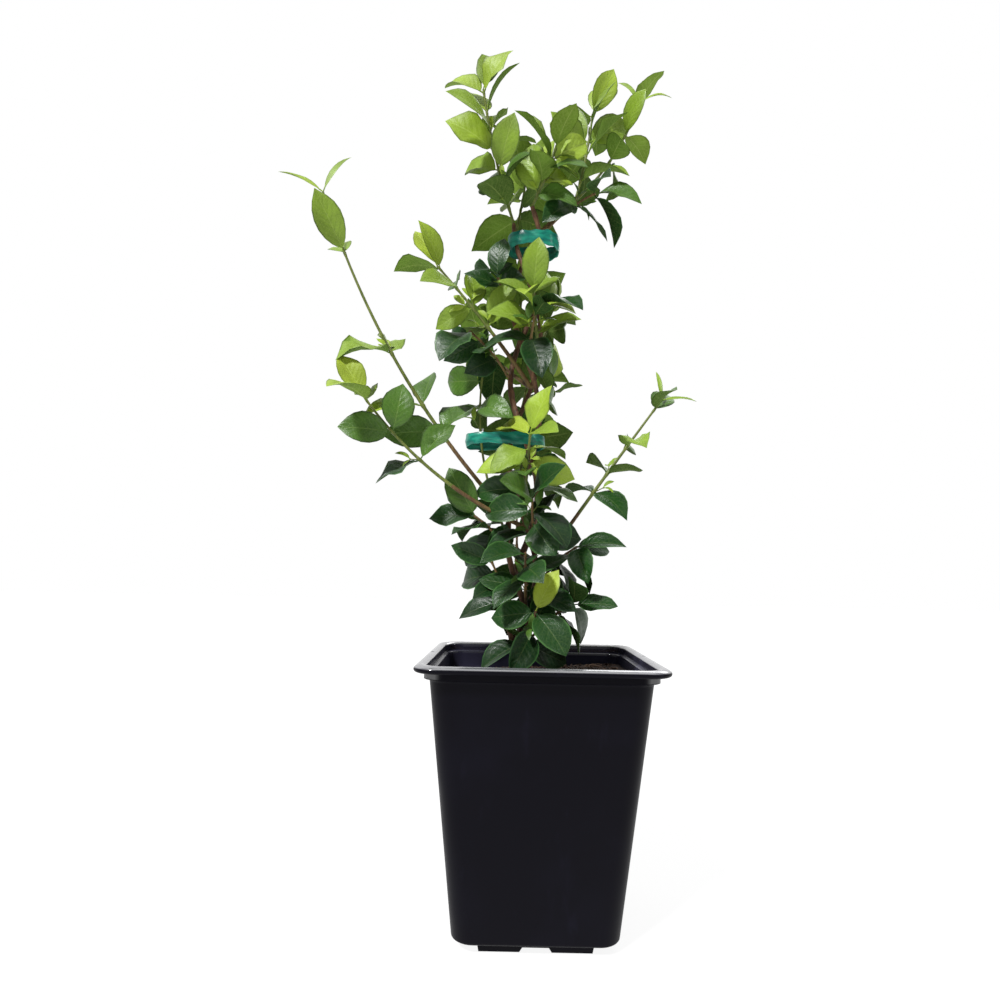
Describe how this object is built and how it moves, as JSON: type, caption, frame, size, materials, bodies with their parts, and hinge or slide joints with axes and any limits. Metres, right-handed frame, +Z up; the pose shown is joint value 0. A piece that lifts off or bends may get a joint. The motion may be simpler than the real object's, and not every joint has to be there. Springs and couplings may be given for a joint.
{
  "type": "potted confederate jasmine",
  "caption": "Young climbing jasmine with twining stems and glossy leaf shoots, tied upright in a square black nursery pot filled with bark mix.",
  "frame": {"origin": "middle of the pot's flat underside", "axes": "+Z up, -Y is the front that the picture shows, +X to its right"},
  "size_m": [0.3168, 0.1986, 0.6395],
  "materials": {
    "pot_plastic": "satin",
    "potting_mix": "crumbly, matte",
    "bark": "fine bark, matte",
    "tie_film": "stretched soft film, glossy",
    "leaves_light": "young leaf, satin",
    "leaves_mid": "grown leaf, satin",
    "leaves_dark": "old leaf, glossy"
  },
  "bodies": {
    "root": {"pot": "pot_plastic", "soil": "potting_mix", "stem_main": "bark", "stem_second": "bark", "stem_third": "bark", "tie_lower": "tie_film", "tie_upper": "tie_film", "bough_left_long": "bark", "bough_left_low": "bark", "bough_left_high": "bark", "bough_right_long": "bark", "bough_top_right": "bark", "bough_back_left": "bark", "bough_back_right": "bark", "foliage_left_long": "leaves_light", "foliage_left_low": "leaves_mid", "foliage_left_high": "leaves_light", "foliage_right_long": "leaves_mid", "foliage_top_near": "leaves_light", "foliage_top_far": "leaves_light", "foliage_top_side": "leaves_dark", "foliage_top_left": "leaves_light", "foliage_top_middle": "leaves_light", "foliage_front_high": "leaves_light", "foliage_front_middle": "leaves_dark", "foliage_front_tie": "leaves_light", "foliage_front_low": "leaves_dark", "foliage_front_waist": "leaves_dark", "foliage_front_foot": "leaves_dark", "foliage_left_middle": "leaves_dark", "foliage_left_tie": "leaves_mid", "foliage_left_waist": "leaves_dark", "foliage_left_foot": "leaves_dark", "foliage_right_foot": "leaves_dark", "foliage_right_base": "leaves_dark", "foliage_right_waist": "leaves_mid", "foliage_right_high": "leaves_mid", "foliage_left_neck": "leaves_dark", "foliage_top_back": "leaves_light", "foliage_back_high": "leaves_light", "foliage_back_middle": "leaves_mid", "foliage_back_tie": "leaves_mid", "foliage_back_low": "leaves_dark", "foliage_back_foot": "leaves_dark", "foliage_back_left": "leaves_light", "foliage_back_right": "leaves_mid"}
  },
  "joints": []
}
